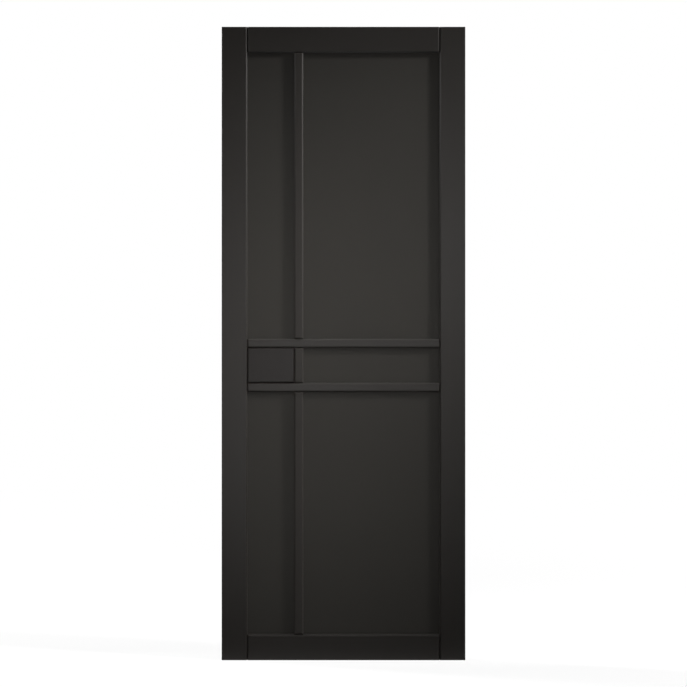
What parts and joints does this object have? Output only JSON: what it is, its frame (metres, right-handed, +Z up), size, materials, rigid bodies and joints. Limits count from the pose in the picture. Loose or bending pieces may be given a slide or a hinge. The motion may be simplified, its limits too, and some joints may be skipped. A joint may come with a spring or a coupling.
{
  "type": "interior door leaf",
  "caption": "Painted panelled door leaf: V-jointed stiles, rails and slim bars hold flat recessed panels and a solid lock block; hung by one long edge to close an inside doorway.",
  "frame": {"origin": "Middle of the bottom edge of the leaf, half way through its thickness.", "axes": "+X across the width, from the lock stile to the hinge stile; +Y through the thickness, away from the face that the picture shows; +Z up."},
  "size_m": [0.762, 0.035, 1.981],
  "materials": {
    "painted_timber": "satin",
    "painted_panel": "satin",
    "bare_dowel": "matte"
  },
  "bodies": {
    "root": {"lock_stile": "painted_timber", "hinge_stile": "painted_timber", "top_rail": "painted_timber", "bottom_rail": "painted_timber", "upper_bar": "painted_timber", "lower_bar": "painted_timber", "upper_muntin": "painted_timber", "middle_muntin": "painted_timber", "lower_muntin": "painted_timber", "lock_block": "painted_timber", "upper_left_panel": "painted_panel", "upper_right_panel": "painted_panel", "middle_right_panel": "painted_panel", "lower_left_panel": "painted_panel", "lower_right_panel": "painted_panel", "rail_dowels": "bare_dowel", "bar_dowels": "bare_dowel"}
  },
  "joints": []
}
